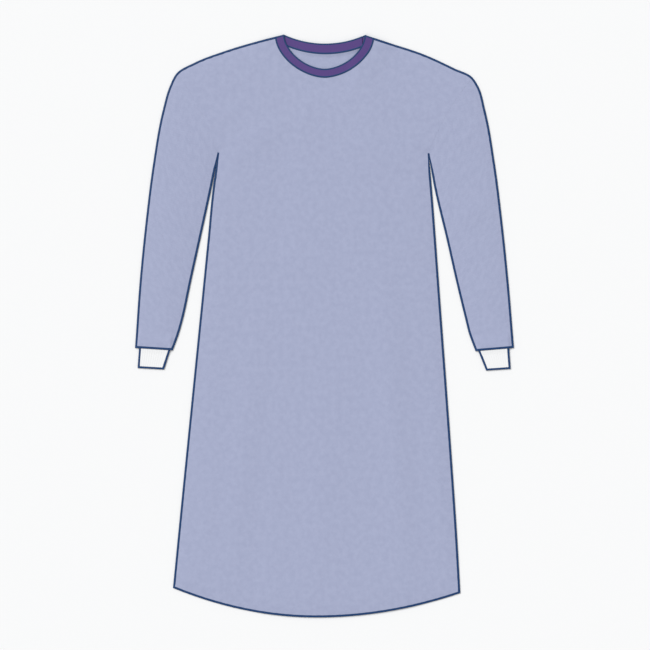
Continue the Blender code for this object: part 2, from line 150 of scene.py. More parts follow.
# Each row is a place on the edge, then across and down on the left of the picture, then on the right
UPPER_EDGE = (
    ("neck point", 0.0865, 0.0000, 0.0865, 0.0010),
    ("inner shoulder", 0.1290, 0.0102, 0.1290, 0.0145),
    ("middle shoulder", 0.2150, 0.0354, 0.2150, 0.0428),
    ("outer shoulder", 0.2795, 0.0602, 0.2795, 0.0724),
    ("shoulder tip", 0.3180, 0.0832, 0.3180, 0.0918),
    ("sleeve head", 0.3324, 0.1107, 0.3304, 0.1107),
    ("upper arm", 0.3475, 0.1623, 0.3454, 0.1623),
    ("above elbow", 0.3688, 0.2806, 0.3665, 0.2806),
    ("below elbow", 0.3838, 0.3988, 0.3815, 0.3988),
    ("forearm", 0.3968, 0.5278, 0.3949, 0.5278),
    ("sleeve end", 0.4070, 0.6727, 0.4070, 0.6727),
)
TIP_ROW = 4
SIDE_SEAM = (
    ("underarm", 0.2279, 0.2530, 0.2235, 0.2545),
    ("chest", 0.2391, 0.3236, 0.2300, 0.3236),
    ("waist", 0.2510, 0.4418, 0.2391, 0.4418),
    ("hip", 0.2639, 0.5708, 0.2485, 0.5708),
    ("thigh", 0.2812, 0.7428, 0.2613, 0.7428),
    ("knee", 0.2985, 0.9148, 0.2737, 0.9148),
    ("calf", 0.3156, 1.0868, 0.2853, 1.0868),
    ("hem", 0.3255, 1.1885, 0.2918, 1.1995),
)


def smoothstep(share):
    """0 up to 0, 1 from 1 on, and 3 times the square less 2 times the cube between them."""
    share = np.clip(share, 0, 1)
    return share * share * (3 - 2 * share)


def smooth_line(stations):
    """A cubic through the stations, with the tangent at each taken from its neighbours, by chord length."""
    stations = np.array(stations, float)
    chord = np.linalg.norm(np.diff(stations, axis=0), axis=1)
    at = np.concatenate([[0], np.cumsum(chord)])
    tangent = np.gradient(stations, at, axis=0)
    share = np.linspace(0, 1, POINTS_PER_SPAN, endpoint=False)[:, None]
    pieces = [
        (2 * share**3 - 3 * share**2 + 1) * stations[i]
        + (share**3 - 2 * share**2 + share) * length * tangent[i]
        + (3 * share**2 - 2 * share**3) * stations[i + 1]
        + (share**3 - share**2) * length * tangent[i + 1]
        for i, length in enumerate(chord)
    ]
    return np.vstack(pieces + [stations[-1:]])


def run_of(line):
    """How far along a line each of its points is."""
    return np.concatenate([[0], np.cumsum(np.linalg.norm(np.diff(line, axis=0), axis=1))])


def along(line, shares):
    """The points of a line at these shares of its length."""
    run = run_of(line)
    at = np.asarray(shares, float) * run[-1]
    return np.column_stack([np.interp(at, run, line[:, axis]) for axis in range(line.shape[1])])


def spaced(line, pitch):
    """A line's points again, evenly, about a pitch apart."""
    return along(line, np.linspace(0, 1, max(2, round(run_of(line)[-1] / pitch) + 1)))


def place_on(side, row):
    """A table row's place. side is -1 on the left of the picture and 1 on the right."""
    column = 1 if side < 0 else 3
    return side * row[column], row[column + 1]


def edge_line(table, side):
    """The smooth line through a table's places on one side."""
    return smooth_line([place_on(side, row) for row in table])


def shoulder_line(side):
    """The upper edge from the neck point to the shoulder tip."""
    return edge_line(UPPER_EDGE, side)[: TIP_ROW * POINTS_PER_SPAN + 1]


def armhole_line(side, shares):
    """The armhole seam from shoulder tip to underarm: a chord, bowed towards the body by a parabola."""
    tip = shoulder_line(side)[-1]
    chord = edge_line(SIDE_SEAM, side)[0] - tip
    towards_body = np.array([-side * abs(chord[1]), -abs(chord[0])]) / np.linalg.norm(chord)
    share = np.asarray(shares, float)[:, None]
    return tip + share * chord + ARMHOLE_CURVE * 4 * share * (1 - share) * towards_body


def hem_line(start_across, end_across, count):
    """The hem between two places: a parabola, lower in the middle, with its ends at the side seams."""
    left, right = edge_line(SIDE_SEAM, -1)[-1], edge_line(SIDE_SEAM, 1)[-1]
    middle, half = (left[0] + right[0]) / 2, (right[0] - left[0]) / 2
    across = np.linspace(start_across, end_across, count)
    share = (across - middle) / half
    sag = GOWN_LENGTH - np.where(share < 0, left[1], right[1])
    return np.column_stack([across, GOWN_LENGTH - sag * share**2])


HEM_LEFT, HEM_RIGHT = (edge_line(SIDE_SEAM, side)[-1, 0] for side in (-1, 1))


def right_neck_drop(across):
    """How much lower a neck line lies towards the right neck point: a smoothstep from the middle."""
    return RIGHT_NECK_DROP * smoothstep(across / NECK_HALF_WIDTH)


def back_neck_down(across):
    """The back neck edge: a parabola between the neck points."""
    return BACK_NECK_DEPTH * np.maximum(1 - (across / NECK_HALF_WIDTH) ** 2, 0) + right_neck_drop(across)


def near_back_band(points):
    """1 where a back panel is inside its neck tape, falling to 0 with the distance from its neck edge."""
    beside = np.maximum(np.abs(points[:, 0]) - NECK_HALF_WIDTH, 0)
    below = np.maximum(points[:, 1] - back_neck_down(points[:, 0]), 0)
    return 1 - smoothstep((np.hypot(beside, below) - BACK_HOLD) / BACK_FALL)


def outer_back_height(points):
    """The underside of the outer back panel, which lies on the thread wound round its edges."""
    return WRAP + BAND_INSIDE * near_back_band(points)


def outer_back_top(points):
    """The upper face of the outer back panel: its underside and its wall."""
    return outer_back_height(points) + WALL


def in_space(points, height):
    """Places on the cut, and heights over the table, as points in space."""
    return np.column_stack([points[:, 0], NECK_Y - points[:, 1], height])


def patch(bottom, top, left, right, shares):
    """A four-sided panel, rows by columns.

    Each row is blended from the lower edge and the upper one. Then it is pulled to the sides: by what its
    first point is off the left side and its last off the right, each fading towards the other.
    """
    up = np.asarray(shares)[:, None, None]
    between_ends = (1 - up) * bottom[None] + up * top[None]
    first, last = between_ends[:, :1], between_ends[:, -1:]
    over = ((between_ends - first)[..., :1]) / (last - first)[..., :1]
    between_sides = (1 - over) * left[:, None] + over * right[:, None]
    return between_ends + between_sides - ((1 - over) * first + over * last)


def body_rows(pitches):
    """The shares up a body panel's side of its rows, and the side itself, for each side of the picture."""
    seam = run_of(edge_line(SIDE_SEAM, 1))[-1]
    hole = run_of(armhole_line(1, np.linspace(0, 1, ARMHOLE_POINTS)))[-1]
    seam_shares = np.linspace(0, 1, round(seam / pitches["seam"]) + 1)
    hole_shares = np.linspace(0, 1, round(hole / pitches["armhole"]) + 1)
    shares = np.concatenate([seam * seam_shares, seam + hole * hole_shares[1:]]) / (seam + hole)
    sides = {}
    for side in (-1, 1):
        lower = along(edge_line(SIDE_SEAM, side)[::-1], seam_shares)
        sides[side] = np.vstack([lower, armhole_line(side, hole_shares)[::-1][1:]])
    return shares, sides


def back_plan(side, neck_end, hem_end, pitches):
    """The plan of half of the back, from its free edge, a straight line, to its side seam."""
    shares, sides = body_rows(pitches)
    count = round(abs(neck_end - side * NECK_HALF_WIDTH) / pitches["neck"]) + 1
    across = np.linspace(neck_end, side * NECK_HALF_WIDTH, count)
    neck = np.column_stack([across, back_neck_down(across) + TAPE])
    top = np.vstack([neck, spaced(shoulder_line(side), pitches["shoulder"])[1:]])
    bottom = hem_line(hem_end, sides[side][0, 0], len(top))
    free = bottom[0] + shares[:, None] * (top[0] - bottom[0])
    plan = patch(bottom, top, free, sides[side], shares)
    return plan if side > 0 else plan[:, ::-1]


def mesh_from(name, points, faces, cut):
    """A mesh from its points, its faces, an array for each count of corners, and the faces' cut."""
    mesh = bpy.data.meshes.new(name)
    corners = np.concatenate([np.ravel(group) for group in faces])
    sizes = np.concatenate([np.full(len(group), group.shape[1]) for group in faces])
    mesh.vertices.add(len(points))
    mesh.vertices.foreach_set("co", np.ravel(points).astype(np.float32))
    mesh.loops.add(len(corners))
    mesh.loops.foreach_set("vertex_index", corners.astype(np.int32))
    mesh.polygons.add(len(sizes))
    starts = np.concatenate([[0], np.cumsum(sizes)[:-1]])
    mesh.polygons.foreach_set("loop_start", starts.astype(np.int32))
    layer = mesh.uv_layers.new(name="cut")
    layer.uv.foreach_set("vector", np.ravel(cut).astype(np.float32))
    mesh.update(calc_edges=True)
    mesh.validate()
    mesh.shade_smooth()
    return mesh


def grid_faces(rows, columns, around, flip):
    """The four corners of each cell of a grid, as row and column numbers.

    around joins the last column to the first, and flip turns the faces round.
    """
    row, column = np.meshgrid(np.arange(rows - 1), np.arange(columns - (not around)), indexing="ij")
    row, column = row.ravel(), column.ravel()
    corner_rows = np.stack([row, row, row + 1, row + 1], axis=1)
    corner_columns = np.stack([column, column + 1, column + 1, column], axis=1)
    if flip:
        corner_rows, corner_columns = corner_rows[:, ::-1], corner_columns[:, ::-1]
    return corner_rows, corner_columns


def edged(points, axis):
    """A grid with one more row, or column, close to each end, so that a rim doesn't tilt the shading."""
    first, second, last_but_one, last = (points.take([i], axis) for i in (0, 1, -2, -1))
    inner = points.take(range(1, points.shape[axis] - 1), axis)
    near_first = first + EDGE_SHARE * (second - first)
    near_last = last + EDGE_SHARE * (last_but_one - last)
    return np.concatenate([first, near_first, inner, near_last, last], axis)


def cloth_piece(name, grid, cut, material, thickness=WALL, offset=1, around=False, flip=False):
    """A grid of points, rows by columns, as a wall of cloth, which grows to the side of its offset.

    cut has each point's place on the flat cut, in metres.
    """
    for axis in (0,) if around else (0, 1):
        grid, cut = edged(grid, axis), edged(cut, axis)
    rows, columns = grid.shape[:2]
    corner_rows, corner_columns = grid_faces(rows, columns, around, flip)
    faces = corner_rows * columns + corner_columns % columns
    mesh = mesh_from(name, grid.reshape(-1, 3), [faces], cut[corner_rows, corner_columns])
    mesh.materials.append(material)
    piece = bpy.data.objects.new(name, mesh)
    bpy.context.collection.objects.link(piece)
    wall = piece.modifiers.new("wall", "SOLIDIFY")
    wall.thickness = thickness
    wall.offset = offset
    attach(piece, "root")
    return piece


def panel_piece(name, plan, height_of, material):
    """A flat panel: its plan, rows by columns, as its cut, and lifted to the height of its underside."""
    flat = plan.reshape(-1, 2)
    grid = in_space(flat, height_of(flat)).reshape(*plan.shape[:2], 3)
    return cloth_piece(name, grid, plan, material)


CLOTH_DARK = (0.325, 0.357, 0.517)
CLOTH_LIGHT = (0.408, 0.443, 0.613)
CLOTH_SHEEN = 0.12
CLOTH_ROUGHNESS = 0.78
BOND_ROUGHNESS = 0.55
CLOTH_RELIEF = {"depth": 0.00025, "strength": 0.45}
FABRIC_SPECULAR = 0.3
SHEEN_ROUGHNESS = 0.5
FIBRES_PER_METRE = 2100.0
FIBRE_TURNS = (0.45, -0.60)
FIBRE_STRETCH = (1.0, 0.16, 1.0)
CLOUDS_PER_METRE = 80.0
BOND_PITCHES = {"X": 0.0042, "Y": 0.0036}

# The noise that counts as a fibre, a cloud or a bond, from its faint start to where it is full
FIBRE_BAND = (0.40, 0.72)
CLOUD_BAND = (0.3, 0.7)
BOND_BAND = (0.50, 0.78)

# How much fibres and clouds lighten the cloth, how much bonds darken it, and how high fibres stand up
FIBRE_SHADE = 0.62
CLOUD_SHADE = 0.38
BOND_SHADE = 0.45
FIBRE_HEIGHT = 0.6


def effect_group(name, inputs, outputs):
    """An empty node group with these inputs and float outputs, and its two end nodes."""
    group = bpy.data.node_groups.new(name, "ShaderNodeTree")
    for label, kind in inputs:
        group.interface.new_socket(label, in_out="INPUT", socket_type=kind)
    for label in outputs:
        group.interface.new_socket(label, in_out="OUTPUT", socket_type="NodeSocketFloat")
    return group, group.nodes.new("NodeGroupInput"), group.nodes.new("NodeGroupOutput")


def add_node(tree, kind, sockets=(), **settings):
    """A new node with its settings, and with sockets fed by other sockets or set to values."""
    node = tree.nodes.new(kind)
    for key, value in settings.items():
        setattr(node, key, value)
    for socket, source in sockets:
        if isinstance(source, bpy.types.NodeSocket):
            tree.links.new(source, node.inputs[socket])
        else:
            node.inputs[socket].default_value = source
    return node


def maths(tree, operation, first, second=0.0):
    """What an operation makes of one value or two."""
    return add_node(tree, "ShaderNodeMath", [(0, first), (1, second)], operation=operation).outputs[0]


def fitted(tree, value, low, high, to_low=0.0, to_high=1.0, smooth="SMOOTHSTEP"):
    """A value carried from one range to another, by a smoothstep or straight, and held at its ends."""
    ranges = [("From Min", low), ("From Max", high), ("To Min", to_low), ("To Max", to_high)]
    node = add_node(tree, "ShaderNodeMapRange", [("Value", value), *ranges], interpolation_type=smooth)
    return node.outputs["Result"]


def noise(tree, vector, grains_per_metre, detail, **more):
    """Noise between 0 and 1 over the vector's places."""
    values = [("Vector", vector), ("Scale", grains_per_metre), ("Detail", detail), *more.items()]
    return add_node(tree, "ShaderNodeTexNoise", values).outputs[0]


def web_group():
    """Spunbond web: fine fibres crossing two ways, in soft clouds, pressed together at bond points.

    A bond point is where a cosine across the cut times a cosine down it is near 1, which staggers them.
    """
    group, start, end = effect_group(
        "spunbond web", [("Cut", "NodeSocketVector")], ["Tone", "Bond", "Height"]
    )
    cut = start.outputs["Cut"]
    ways = []
    for turn in FIBRE_TURNS:
        laid = [("Vector", cut), ("Rotation", (0.0, 0.0, turn)), ("Scale", FIBRE_STRETCH)]
        stretched = add_node(group, "ShaderNodeMapping", laid).outputs[0]
        ways.append(noise(group, stretched, FIBRES_PER_METRE, detail=2.0, Distortion=0.8))
    fibres = maths(group, "MAXIMUM", *ways)
    clouds = noise(group, cut, CLOUDS_PER_METRE, detail=3.0, Roughness=0.6)
    parts = add_node(group, "ShaderNodeSeparateXYZ", [("Vector", cut)])
    waves = [
        maths(group, "COSINE", maths(group, "MULTIPLY", parts.outputs[axis], 2 * math.pi / pitch))
        for axis, pitch in BOND_PITCHES.items()
    ]
    bond = fitted(group, maths(group, "MULTIPLY", *waves), *BOND_BAND)
    light_fibres = maths(group, "MULTIPLY", fitted(group, fibres, *FIBRE_BAND), FIBRE_SHADE)
    light_clouds = maths(group, "MULTIPLY", fitted(group, clouds, *CLOUD_BAND), CLOUD_SHADE)
    tone = maths(group, "ADD", light_fibres, light_clouds)
    height = maths(group, "SUBTRACT", maths(group, "MULTIPLY", fibres, FIBRE_HEIGHT), bond)
    for label, value in (("Tone", tone), ("Bond", bond), ("Height", height)):
        group.links.new(value, end.inputs[label])
    return group


def shaded_material(name, roughness, sheen):
    """A material with its Principled shader, and its UV map's places on the cut."""
    made = bpy.data.materials.new(name)
    made.use_nodes = True
    tree = made.node_tree
    shader = tree.nodes["Principled BSDF"]
    shader.inputs["Roughness"].default_value = roughness
    shader.inputs["Specular IOR Level"].default_value = FABRIC_SPECULAR
    shader.inputs["Sheen Weight"].default_value = sheen
    shader.inputs["Sheen Roughness"].default_value = SHEEN_ROUGHNESS
    cut = add_node(tree, "ShaderNodeUVMap", uv_map="cut").outputs["UV"]
    return made, tree, shader, cut


def coloured(tree, shader, mask, dark, light):
    """The shader's colour, from a dark one where the mask is 0 to a light one where it is 1.

    A Mix node's two colours are its inputs 6 and 7, and the mixed colour is its output 2.
    """
    values = [(0, mask), (6, (*dark, 1)), (7, (*light, 1))]
    mixed = add_node(tree, "ShaderNodeMix", values, data_type="RGBA").outputs[2]
    tree.links.new(mixed, shader.inputs["Base Color"])


def raised(tree, shader, height, depth, strength):
    """The shader's normal, tilted by the slope of a height of 0 to 1 that stands for a depth in metres."""
    values = [("Height", height), ("Strength", strength), ("Distance", depth)]
    bump = add_node(tree, "ShaderNodeBump", values)
    tree.links.new(bump.outputs["Normal"], shader.inputs["Normal"])


def nonwoven_cloth():
    """Matt blue web, whose bond points are darker and smoother than the fibres between them."""
    made, tree, shader, cut = shaded_material("blue nonwoven", CLOTH_ROUGHNESS, CLOTH_SHEEN)
    web = add_node(tree, "ShaderNodeGroup", node_tree=web_group())
    tree.links.new(cut, web.inputs["Cut"])
    pressed = maths(tree, "MULTIPLY", web.outputs["Bond"], BOND_SHADE)
    coloured(tree, shader, maths(tree, "SUBTRACT", web.outputs["Tone"], pressed), CLOTH_DARK, CLOTH_LIGHT)
    gloss = fitted(tree, web.outputs["Bond"], 0.0, 1.0, CLOTH_ROUGHNESS, BOND_ROUGHNESS, "LINEAR")
    tree.links.new(gloss, shader.inputs["Roughness"])
    raised(tree, shader, web.outputs["Height"], **CLOTH_RELIEF)
    return made


HIDDEN_EDGE_WIDTH = 0.0036
HIDDEN_EDGE_LIFT = 0.00015
THREAD_PITCH = 0.0019
THREAD_STEP = 0.00047
THREAD_SLANT = 0.9
# The thread's navy, in painted shade between its turns and in a painted highlight on their crowns
THREAD_PAINTED_SHADE = (0.002, 0.022, 0.084)
THREAD_PAINTED_HIGHLIGHT = (0.011, 0.068, 0.212)
THREAD_ROUGHNESS = 0.6
THREAD_SHEEN = 0.03
THREAD_RELIEF = {"depth": 0.0001, "strength": 0.3}
FLUFF_PER_METRE = 2200.0

# Painted light on the thread: a highlight on each crown, shade in each hollow, dimmed at random by fluff
# The cosine from the hollow between two turns to the crown, the fluff's noise, and its darkest shade
CROWN_HIGHLIGHT_BAND = (-1.0, 0.8)
FLUFF_BAND = (0.25, 0.7)
FLUFF_SHADE = 0.45

# Where the thread's section goes over the cloth: share of the width from the edge, and share of the lift
EDGE_SECTION = ((-0.03, 0.25), (0.15, 1.0), (0.48, 1.0), (0.78, 0.85), (1.0, -0.3))

# How far the section bulges beyond its first share, how much further on a crown, and the bulge's own share
BULGE = 0.00006
CROWN_BULGE = 0.00012
BULGE_SHARE = -0.05

# What is left of the lift between two turns, and how many points apart the cloth's height is worked out
HOLLOW = 0.45
HEIGHT_EVERY = 3

# How far over the table the thread's underside is where it crosses other thread
CROSSING = 0.00004

# A place inside the body, by which each of its edges is told from its inside
BODY_MIDDLE = (0.0, 0.6)


def overlock_thread():
    """Fluffy overlock thread: a painted highlight on the crowns of its turns, painted shade between them.

    The cut's first number runs along the edge and its second is the share of the width, so a crown is
    where the cosine of the two together is near 1, as in turns_of.
    """
    made, tree, shader, cut = shaded_material("navy overlock thread", THREAD_ROUGHNESS, THREAD_SHEEN)
    parts = add_node(tree, "ShaderNodeSeparateXYZ", [("Vector", cut)])
    along_edge = maths(tree, "MULTIPLY", parts.outputs["X"], 2 * math.pi / THREAD_PITCH)
    slant = maths(tree, "MULTIPLY", parts.outputs["Y"], 2 * math.pi * THREAD_SLANT)
    crown = fitted(tree, maths(tree, "COSINE", maths(tree, "ADD", along_edge, slant)), *CROWN_HIGHLIGHT_BAND)
    in_object = add_node(tree, "ShaderNodeTexCoord").outputs["Object"]
    fluff = noise(tree, in_object, FLUFF_PER_METRE, detail=2.0)
    # The painted highlight on the crowns, dimmed where the fluff's noise is low; painted shade between
    # turns
    painted_crown_highlight = maths(tree, "MULTIPLY", crown, fitted(tree, fluff, *FLUFF_BAND, FLUFF_SHADE))
    coloured(tree, shader, painted_crown_highlight, THREAD_PAINTED_SHADE, THREAD_PAINTED_HIGHLIGHT)
    raised(tree, shader, fluff, **THREAD_RELIEF)
    return made


def turns_of(run, share):
    """1 on the crown of a turn of thread and 0 between two: a cosine along the edge, slanted over it."""
    return 0.5 + 0.5 * np.cos(2 * math.pi * (run / THREAD_PITCH + THREAD_SLANT * share))


def closed_tube(rings, run, shares):
    """A closed tube through equal rings. Its cut is the run along it, and the share of its width.

    The faces are turned round where most of them look towards the middle of their own two rings.
    """
    rows, count = rings.shape[:2]
    points = rings.reshape(-1, 3)
    corner_rows, corner_columns = grid_faces(rows, count, True, False)
    quads = corner_rows * count + corner_columns % count
    quad_cut = np.stack([run[corner_rows], shares[corner_columns]], axis=2)
    ends = np.array([np.arange(count)[::-1], (rows - 1) * count + np.arange(count)])
    a, b, c, d = (points[quads[:, i]] for i in range(4))
    middles = rings.mean(axis=1)[corner_rows].mean(axis=1)
    outwards = ((a + b + c + d) / 4 - middles) * np.cross(c - a, d - b)
    if outwards.sum() < 0:
        quads, quad_cut, ends = quads[:, ::-1], quad_cut[:, ::-1], ends[:, ::-1]
    end_cut = np.stack([run[ends // count], shares[ends % count]], axis=2)
    return {"points": points, "quads": quads, "quad_cut": quad_cut, "ends": ends, "end_cut": end_cut}


def wound_edge(path, towards, width, lift, top_of, low_of):
    """A tube of thread wound over an edge.

    path is the edge's line in plan, and towards points into the cloth at each of its points. The section
    lies on top_of and reaches down to low_of, and slanted waves along the path are the turns of thread.
    """
    run = run_of(path)
    width = np.broadcast_to(np.asarray(width, float), run.shape)
    coarse = np.unique(np.append(np.arange(0, len(path), HEIGHT_EVERY), len(path) - 1))

    def level(height_of, plan):
        """Heights at some of the plan's points, and straight between them."""
        return np.interp(run, run[coarse], height_of(plan[coarse]))

    plans = [path + (share * width)[:, None] * towards for share, _ in EDGE_SECTION]
    tops = [level(top_of, plan) for plan in plans]
    rings = [
        in_space(plan, top + lift * lift_share * (HOLLOW + (1 - HOLLOW) * turns_of(run, share)))
        for plan, top, (share, lift_share) in zip(plans, tops, EDGE_SECTION)
    ]
    low = level(low_of, path)
    rings += [in_space(plans[-1], low), in_space(plans[0], low)]
    bulge = BULGE + CROWN_BULGE * turns_of(run, 0)
    rings.append(in_space(plans[0] - bulge[:, None] * towards, (low + tops[0]) / 2))
    over = [share for share, _ in EDGE_SECTION]
    shares = np.array([*over, over[-1], over[0], BULGE_SHARE, over[0]])
    return closed_tube(np.stack(rings, axis=1), run, shares)


def inward_of(path, inside):
    """The unit normal of a path at each point, on the side where the place called inside is."""
    tangent = np.gradient(path, axis=0)
    tangent /= np.linalg.norm(tangent, axis=1)[:, None]
    normal = np.column_stack([-tangent[:, 1], tangent[:, 0]])
    return normal * np.sign(((np.array(inside) - path) * normal).sum(axis=1).mean())


def thread_piece(name, tubes, material):
    """One piece from several tubes of thread."""
    starts = np.concatenate([[0], np.cumsum([len(tube["points"]) for tube in tubes])])
    faces = [
        np.vstack([tube[kind] + start for tube, start in zip(tubes, starts)]) for kind in ("quads", "ends")
    ]
    cuts = [tube[kind].reshape(-1, 2) for kind in ("quad_cut", "end_cut") for tube in tubes]
    mesh = mesh_from(name, np.vstack([tube["points"] for tube in tubes]), faces, np.concatenate(cuts))
    mesh.materials.append(material)
    piece = bpy.data.objects.new(name, mesh)
    bpy.context.collection.objects.link(piece)
    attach(piece, "root")
    return piece


def near_table(points):
    """Just over the table, for thread that crosses other thread at a corner."""
    return np.full(len(points), CROSSING)


def hem_thread(start_across, end_across, width, lift, top_of, low_of):
    """The thread wound over the hem between two places."""
    path = spaced(hem_line(start_across, end_across, HEM_POINTS), THREAD_STEP)
    return wound_edge(path, inward_of(path, BODY_MIDDLE), width, lift, top_of, low_of)


gown_cloth = nonwoven_cloth()
navy_thread = overlock_thread()
outer_plan = back_plan(1, OUTER_EDGE_AT_NECK, OUTER_EDGE_AT_HEM, OUTER_PITCHES)
back_outer = panel_piece("back_outer_cloth", outer_plan, outer_back_height, gown_cloth)
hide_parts("back_panel_outer")
outer_hem = hem_thread(
    OUTER_EDGE_AT_HEM, HEM_RIGHT, HIDDEN_EDGE_WIDTH, HIDDEN_EDGE_LIFT, outer_back_top, near_table
)
outer_edging = thread_piece("overlock_back_outer", [outer_hem], navy_thread)


# The inner back panel: the wearer's right half of the back, from the same cloth, with thread over its hem.
# It laps over the outer panel, and its inside shows in the neck, where it comes down from its tape.
INNER_EDGE_AT_NECK = 0.080
INNER_EDGE_AT_HEM = 0.170
INNER_PITCHES = {"seam": 0.012, "armhole": 0.0025, "neck": 0.003, "shoulder": 0.0075}

# How high one layer of cloth is, how high a neck tape is, and how far one tape lifts the next
LAYER = 0.0008
BAND_HEIGHT = 2 * TAPE + WALL + 2 * CLEARANCE
BAND_STEP = BAND_HEIGHT + CLEARANCE

# Over what the cloth comes down beside a free edge that it lies on, and how far off it starts
STEP_OVER_EDGE = 0.053
STEP_CLEAR = 0.005


def lap_edge(points, at_neck, at_hem):
    """Where a free edge of the back is, across, level with each point: a straight line from neck to hem."""
    return at_neck + points[:, 1] / GOWN_LENGTH * (at_hem - at_neck)


def over_outer_panel(points):
    """1 where the inner back panel lies on the outer one, and 0 where it lies on the table."""
    beyond = points[:, 0] - lap_edge(points, OUTER_EDGE_AT_NECK, OUTER_EDGE_AT_HEM)
    return smoothstep((beyond + STEP_CLEAR + STEP_OVER_EDGE) / STEP_OVER_EDGE)


def inner_back_height(points):
    """The underside of the inner back panel: a layer up over the outer one, and higher inside its tape."""
    over, held = over_outer_panel(points), near_back_band(points)
    return WRAP + LAYER * over + held * (BAND_INSIDE + over * (BAND_STEP - LAYER))


def inner_back_top(points):
    """The upper face of the inner back panel: its underside and its wall."""
    return inner_back_height(points) + WALL


def under_inner_back(points):
    """The underside of the thread on the inner panel's hem: a quarter of a thread under its cloth."""
    return inner_back_height(points) - WRAP / 4


inner_plan = back_plan(-1, INNER_EDGE_AT_NECK, INNER_EDGE_AT_HEM, INNER_PITCHES)
back_inner = panel_piece("back_inner_cloth", inner_plan, inner_back_height, gown_cloth)
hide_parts("back_panel_inner")
inner_hem = hem_thread(
    HEM_LEFT, INNER_EDGE_AT_HEM, HIDDEN_EDGE_WIDTH, HIDDEN_EDGE_LIFT, inner_back_top, under_inner_back
)
inner_edging = thread_piece("overlock_back_inner", [inner_hem], navy_thread)


# The front panel: one wide piece from side seam to side seam, with the scooped neck edge inside its tape.
# It lies on the back panels at its edges, and holds a little air and soft creases between them. Thread is
# wound over its hem, and over the side seams and shoulders that join it to the back.
FRONT_NECK_DEPTH = 0.0733
FRONT_TAPE_HALF_WIDTH = 0.1062
NECK_ROUNDNESS = 1.75
RIGHT_END_SLOPE = 0.09
FRONT_PITCHES = {"seam": 0.0048, "armhole": 0.004, "shoulder": 0.0085}
FRONT_NECK_POINTS = 61

# How far from the neck the tape holds the cloth up, and over what it then comes down
FRONT_HOLD = 0.032
FRONT_FALL = 0.045

# Where the front tape starts to rise from one back tape on to both, and over what it does
BOTH_TAPES_FROM = 0.045
BOTH_TAPES_RISE = 0.028

# The air under the front, and how far from the edges it builds up
LOFT = 0.0020
LOFT_RUN = 0.020

# The puckers' height, how far in they reach, and over what they start
PUCKER_HEIGHT = 0.00012
PUCKER_REACH = 0.012
PUCKER_START = 0.004

# Radians a metre of their wave, of the sway that makes it uneven and of the ripple over it, how strong the
# sway and the ripple are, and how far the ripple is shifted
PUCKER_WAVE = 260
PUCKER_SWAY = 31
PUCKER_RIPPLE = 417
SWAY_STRENGTH = 1.7
RIPPLE_STRENGTH = 0.5
RIPPLE_SHIFT = 2.0

# The wound edges that show: their width and lift, their width in the notch under the arm, the run over
# which that widens, and how far the shoulder's thread runs under the tape
EDGE_WIDTH = 0.0048
EDGE_LIFT = 0.00032
NOTCH_WIDTH = 0.0022
NOTCH_RUN = 0.05
THREAD_UNDER_TAPE = 0.001

# How fine the outline and the neck line are from which distances are measured
OUTLINE_PITCH = 0.008
OUTLINE_HEM_POINTS = 40
NECK_POINTS = 40

# Each row is a place on the edge, then across and down on the left of the picture, then on the right
UNDERARM_EDGE = (
    ("underarm", 0.2279, 0.2530, 0.2235, 0.2545),
    ("inner arm", 0.2419, 0.3236, 0.2353, 0.3236),
    ("elbow", 0.2675, 0.4418, 0.2631, 0.4418),
    ("forearm", 0.2865, 0.5278, 0.2826, 0.5278),
    ("lower forearm", 0.3051, 0.6138, 0.3035, 0.6138),
    ("above the cuff", 0.3122, 0.6390, 0.3098, 0.6390),
    ("sleeve end", 0.3262, 0.6778, 0.3246, 0.6795),
)

# Broad soft creases: name, start across and down, end across and down, half width, height
CREASES = (
    ("left underarm to chest", -0.215, 0.275, -0.070, 0.175, 0.028, 0.0011),
    ("right underarm to chest", 0.205, 0.290, 0.060, 0.215, 0.026, 0.0009),
    ("left skirt", -0.135, 0.560, -0.205, 1.190, 0.034, 0.0013),
    ("middle skirt", 0.005, 0.720, -0.020, 1.235, 0.040, 0.0010),
    ("right skirt", 0.120, 0.480, 0.175, 1.180, 0.032, 0.0013),
    ("across the waist", -0.180, 0.470, 0.020, 0.505, 0.030, 0.0006),
    ("left elbow", -0.375, 0.330, -0.280, 0.420, 0.024, 0.0010),
    ("right elbow", 0.372, 0.350, 0.285, 0.400, 0.022, 0.0011),
)

# Finer creases between the broad ones, in the same columns
FINE_CREASES = (
    ("left armhole, upper", -0.255, 0.190, -0.165, 0.150, 0.009, 0.00045),
    ("left armhole, lower", -0.235, 0.235, -0.140, 0.215, 0.008, 0.00050),
    ("left underarm, down", -0.222, 0.290, -0.165, 0.360, 0.010, 0.00050),
    ("right armhole, upper", 0.250, 0.180, 0.170, 0.155, 0.009, 0.00040),
    ("right armhole, lower", 0.230, 0.240, 0.150, 0.232, 0.008, 0.00050),
    ("right underarm, down", 0.215, 0.300, 0.150, 0.380, 0.011, 0.00045),
    ("left skirt, short", -0.235, 0.860, -0.262, 1.130, 0.014, 0.00060),
    ("right skirt, short", 0.232, 0.800, 0.252, 1.060, 0.013, 0.00055),
    ("under the neck", -0.030, 0.125, -0.062, 0.250, 0.012, 0.00035),
    ("left upper sleeve", -0.338, 0.170, -0.285, 0.230, 0.010, 0.00050),
    ("right upper sleeve", 0.336, 0.180, 0.280, 0.250, 0.010, 0.00050),
    ("left forearm", -0.380, 0.500, -0.318, 0.560, 0.010, 0.00045),
    ("right forearm", 0.382, 0.520, 0.312, 0.570, 0.010, 0.00045),
)


def nearest_on(line, points):
    """How far each point is from a line, and how far along the line its nearest place is."""
    away = np.full(len(points), np.inf)
    run = np.zeros(len(points))
    passed = 0.0
    for start, end in zip(line[:-1], line[1:]):
        span = end - start
        length = math.hypot(*span)
        share = np.clip((points - start) @ span / length**2, 0, 1)
        gap = np.hypot(*(points - start - share[:, None] * span).T)
        closer = gap < away
        away[closer] = gap[closer]
        run[closer] = passed + share[closer] * length
        passed += length
    return away, run


